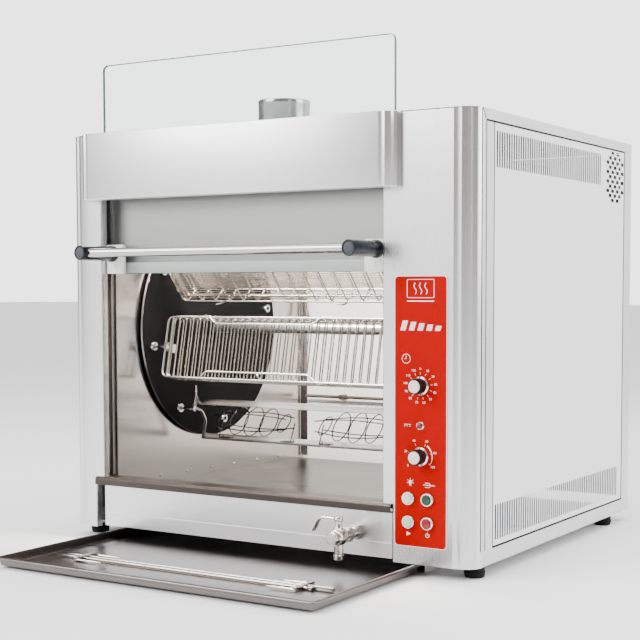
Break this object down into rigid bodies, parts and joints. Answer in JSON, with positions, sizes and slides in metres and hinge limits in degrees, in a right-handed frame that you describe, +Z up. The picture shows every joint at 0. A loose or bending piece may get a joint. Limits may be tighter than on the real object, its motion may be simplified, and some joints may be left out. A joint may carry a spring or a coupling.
{
  "type": "rotisserie oven",
  "caption": "Bench-size electric rotisserie oven with a planetary carousel behind a sliding glass door, control column, drip tray and drain tap.",
  "frame": {"origin": "middle of the footprint with the drip tray pulled out, on the surface that the feet stand on", "axes": "+X to the right seen from the front, +Y from the door to the rear panel, +Z up"},
  "size_m": [1.07, 1.308, 1.119],
  "materials": {
    "cabinet_steel": "fine brushed stainless sheet",
    "polished_steel": "polished stainless",
    "sill_steel": "brushed stainless in shade, warm grey",
    "gear_steel": "machined steel",
    "wire_steel": "food-safe stainless wire and bar",
    "side_paint": "pale grey satin paint",
    "wheel_enamel": "black heat-proof enamel",
    "black_plastic": "black phenolic, satin",
    "foot_rubber": "black rubber",
    "panel_red": "red screen-printed plate, satin",
    "door_glass": "toughened clear glass",
    "block_white": "white moulded clamp",
    "button_white": "white lens",
    "button_green": "green lens",
    "button_pale_green": "lit pale green lens",
    "button_red": "red lens",
    "cast_iron": "painted cast iron",
    "lamp_white": "heat-proof lamp body"
  },
  "bodies": {
    "root": {"foot_front_left": "foot_rubber", "foot_front_right": "foot_rubber", "foot_rear_left": "foot_rubber", "foot_rear_right": "foot_rubber", "base_frame": "cabinet_steel", "side_frame_left": "cabinet_steel", "side_frame_right": "cabinet_steel", "left_post": "cabinet_steel", "roof": "cabinet_steel", "header_fascia": "cabinet_steel", "door_frame": "cabinet_steel", "lower_front_panel": "cabinet_steel", "control_column": "cabinet_steel", "cavity_left_wall": "cabinet_steel", "cavity_right_wall": "cabinet_steel", "cavity_floor": "cabinet_steel", "cavity_ceiling": "cabinet_steel", "cavity_back_wall": "polished_steel", "exhaust_collar": "polished_steel", "tap_body": "polished_steel", "sill": "sill_steel", "heating_element": "sill_steel", "side_panel_left": "side_paint", "side_panel_right": "side_paint", "rear_panel": "side_paint", "cable_gland": "black_plastic", "timer_and_regulator": "black_plastic", "cavity_lamp": "lamp_white", "gear_motor": "cast_iron", "button_block": "gear_steel", "control_panel": "panel_red"},
    "door": {"door_glass": "door_glass", "door_block_left": "block_white", "door_block_right": "block_white", "door_standoff_left": "black_plastic", "door_standoff_right": "black_plastic", "door_handle_bar": "polished_steel"},
    "weight_left": {"counterweight_left": "cast_iron"},
    "weight_right": {"counterweight_right": "cast_iron"},
    "carousel": {"carousel_shaft": "gear_steel", "wheel_left": "wheel_enamel", "wheel_right": "wheel_enamel"},
    "pinion": {"motor_pinion": "gear_steel"},
    "tray": {"drip_tray": "cabinet_steel", "spit": "wire_steel"},
    "lever": {"tap_lever": "polished_steel"},
    "timer": {"timer_knob": "black_plastic"},
    "regulator": {"regulator_knob": "black_plastic"},
    "light": {"light_button": "button_white"},
    "rotation": {"rotation_button": "button_green"},
    "start": {"start_button": "button_pale_green"},
    "stop": {"stop_button": "button_red"},
    "station_1": {"planet_axle_1": "gear_steel"},
    "station_2": {"planet_axle_2": "gear_steel"},
    "station_3": {"planet_axle_3": "gear_steel"},
    "station_4": {"mesh_basket": "wire_steel"},
    "station_5": {"grid_basket": "wire_steel"},
    "station_6": {"roast_cradle": "wire_steel"},
    "station_7": {"planet_axle_7": "gear_steel"},
    "station_8": {"planet_axle_8": "gear_steel"}
  },
  "joints": [
    {"name": "door_slide", "type": "slide", "parent": "root", "child": "door", "axis": [0, 0, 1], "range_m": [-0.478, 0]},
    {"name": "weight_left_slide", "type": "slide", "parent": "root", "child": "weight_left", "axis": [0, 0, 1], "range_m": [0, 0.478]},
    {"name": "weight_right_slide", "type": "slide", "parent": "root", "child": "weight_right", "axis": [0, 0, 1], "range_m": [0, 0.478]},
    {"name": "carousel_spin", "type": "hinge", "parent": "root", "child": "carousel", "pos_m": [0, 0.146, 0.495], "axis": [1, 0, 0], "continuous": true},
    {"name": "pinion_spin", "type": "hinge", "parent": "root", "child": "pinion", "pos_m": [0, 0.146, 0.345], "axis": [1, 0, 0], "continuous": true},
    {"name": "tray_slide", "type": "slide", "parent": "root", "child": "tray", "axis": [0, 1, 0], "range_m": [0, 0.375]},
    {"name": "tap_turn", "type": "hinge", "parent": "root", "child": "lever", "pos_m": [0.264, -0.34, 0.115], "axis": [0, 0, 1], "range_deg": [0, 90]},
    {"name": "timer_turn", "type": "hinge", "parent": "root", "child": "timer", "pos_m": [0.415, -0.264, 0.395], "axis": [0, -1, 0], "range_deg": [0, 300]},
    {"name": "regulator_turn", "type": "hinge", "parent": "root", "child": "regulator", "pos_m": [0.415, -0.264, 0.25], "axis": [0, -1, 0], "range_deg": [0, 270]},
    {"name": "light_press", "type": "slide", "parent": "root", "child": "light", "axis": [0, 1, 0], "range_m": [0, 0.004], "stiffness_N_per_m": 400},
    {"name": "rotation_press", "type": "slide", "parent": "root", "child": "rotation", "axis": [0, 1, 0], "range_m": [0, 0.004], "stiffness_N_per_m": 400},
    {"name": "start_press", "type": "slide", "parent": "root", "child": "start", "axis": [0, 1, 0], "range_m": [0, 0.004], "stiffness_N_per_m": 400},
    {"name": "stop_press", "type": "slide", "parent": "root", "child": "stop", "axis": [0, 1, 0], "range_m": [0, 0.004], "stiffness_N_per_m": 400},
    {"name": "station_1_spin", "type": "hinge", "parent": "carousel", "child": "station_1", "pos_m": [0, 0.39023, 0.53807], "axis": [1, 0, 0], "continuous": true},
    {"name": "station_2_spin", "type": "hinge", "parent": "carousel", "child": "station_2", "pos_m": [0, 0.28825, 0.69815], "axis": [1, 0, 0], "continuous": true},
    {"name": "station_3_spin", "type": "hinge", "parent": "carousel", "child": "station_3", "pos_m": [0, 0.10293, 0.73923], "axis": [1, 0, 0], "continuous": true},
    {"name": "station_4_spin", "type": "hinge", "parent": "carousel", "child": "station_4", "pos_m": [0, -0.05715, 0.63725], "axis": [1, 0, 0], "continuous": true},
    {"name": "station_5_spin", "type": "hinge", "parent": "carousel", "child": "station_5", "pos_m": [0, -0.09823, 0.45193], "axis": [1, 0, 0], "continuous": true},
    {"name": "station_6_spin", "type": "hinge", "parent": "carousel", "child": "station_6", "pos_m": [0, 0.00375, 0.29185], "axis": [1, 0, 0], "continuous": true},
    {"name": "station_7_spin", "type": "hinge", "parent": "carousel", "child": "station_7", "pos_m": [0, 0.18907, 0.25077], "axis": [1, 0, 0], "continuous": true},
    {"name": "station_8_spin", "type": "hinge", "parent": "carousel", "child": "station_8", "pos_m": [0, 0.34915, 0.35275], "axis": [1, 0, 0], "continuous": true}
  ],
  "couplings": [
    {"joint": "weight_left_slide", "follows": "door_slide", "ratio": -1},
    {"joint": "weight_right_slide", "follows": "door_slide", "ratio": -1},
    {"joint": "pinion_spin", "follows": "carousel_spin", "ratio": -4},
    {"joint": "station_1_spin", "follows": "carousel_spin", "ratio": 2},
    {"joint": "station_2_spin", "follows": "carousel_spin", "ratio": 2},
    {"joint": "station_3_spin", "follows": "carousel_spin", "ratio": 2},
    {"joint": "station_4_spin", "follows": "carousel_spin", "ratio": 2},
    {"joint": "station_5_spin", "follows": "carousel_spin", "ratio": 2},
    {"joint": "station_6_spin", "follows": "carousel_spin", "ratio": 2},
    {"joint": "station_7_spin", "follows": "carousel_spin", "ratio": 2},
    {"joint": "station_8_spin", "follows": "carousel_spin", "ratio": 2}
  ]
}
